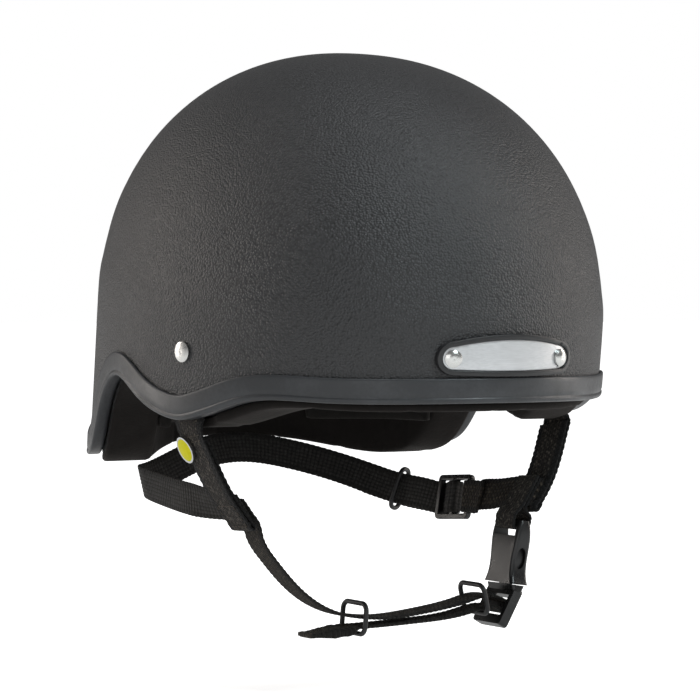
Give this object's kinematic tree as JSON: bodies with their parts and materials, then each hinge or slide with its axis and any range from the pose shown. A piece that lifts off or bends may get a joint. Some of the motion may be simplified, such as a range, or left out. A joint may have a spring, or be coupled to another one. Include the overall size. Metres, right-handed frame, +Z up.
{
  "type": "jockey skull cap",
  "caption": "Brimless hard-shelled riding skull cap with edge trim, foam liner, riveted front badge left bare, and a webbing harness with side-release buckle, keepers and triglide.",
  "frame": {"origin": "The middle of the plane that the front rim's lower edge lies in, where the wearer's head is seated; the head holds the cap.", "axes": "+Z up along the head, -Y to the front of the cap, -X to the wearer's right."},
  "size_m": [0.2132, 0.2712, 0.2563],
  "materials": {
    "shell": "black, fine pebble grain",
    "trim": "satin black rubber",
    "foam": "black beaded foam",
    "lining": "black brushed fabric",
    "pad": "black brushed fabric",
    "bezel": "satin black",
    "badge": "satin silver, left bare",
    "rivet": "bright nickel",
    "webbing": "black woven nylon",
    "buckle": "satin black moulding",
    "keeper": "smooth black rubber",
    "disc": "yellow enamel, left plain",
    "disc_ring": "bright"
  },
  "bodies": {
    "helmet": {"outer_shell": "shell", "edge_trim": "trim", "impact_liner": "foam", "comfort_lining": "lining", "brow_pad": "pad", "neck_pads": "pad", "crown_pad": "pad", "badge_bezel": "bezel", "badge_plate": "badge", "badge_rivets": "rivet", "badge_washers": "rivet", "temple_rivets": "rivet", "temple_washers": "rivet", "front_strap_right": "webbing", "front_strap_left": "webbing", "nape_strap": "webbing", "nape_anchor_strap": "webbing", "buckle_loop": "webbing", "nape_slider": "buckle", "buckle_socket": "buckle", "strap_disc": "disc", "strap_disc_ring": "disc_ring", "strap_disc_stud": "rivet"},
    "buckle_half": {"buckle_prong": "buckle", "chin_strap": "webbing"},
    "front_arm": {"latch_arm_front": "buckle"},
    "rear_arm": {"latch_arm_rear": "buckle"},
    "tail_ring": {"chin_keeper_tail": "keeper"},
    "buckle_ring": {"chin_keeper_buckle": "keeper"},
    "neck_ring": {"nape_keeper": "keeper"}
  },
  "joints": [
    {"name": "buckle_release", "type": "slide", "parent": "helmet", "child": "buckle_half", "axis": [-0.1444, 0, -0.9895], "range_m": [0, 0.024], "deforming": ["chin_strap"]},
    {"name": "latch_arm_rear_hinge", "type": "hinge", "parent": "buckle_half", "child": "rear_arm", "pos_m": [0.06424, -0.0277, -0.08401], "axis": [0.9895, 0, -0.1444], "range_deg": [0, 5], "stiffness_Nm_per_rad": 0.2},
    {"name": "latch_arm_front_hinge", "type": "hinge", "parent": "buckle_half", "child": "front_arm", "pos_m": [0.06424, -0.0403, -0.08401], "axis": [-0.9895, 0, 0.1444], "range_deg": [0, 5], "stiffness_Nm_per_rad": 0.2},
    {"name": "tail_ring_slide", "type": "slide", "parent": "buckle_half", "child": "tail_ring", "axis": [-0.9962, 0, 0.0872], "range_m": [-0.002, 0.002]},
    {"name": "buckle_ring_slide", "type": "slide", "parent": "buckle_half", "child": "buckle_ring", "axis": [0.9744, 0, 0.225], "range_m": [-0.002, 0.002]},
    {"name": "neck_ring_slide", "type": "slide", "parent": "helmet", "child": "neck_ring", "axis": [0.3665, -0.9066, -0.209], "range_m": [-0.002, 0.002]}
  ]
}
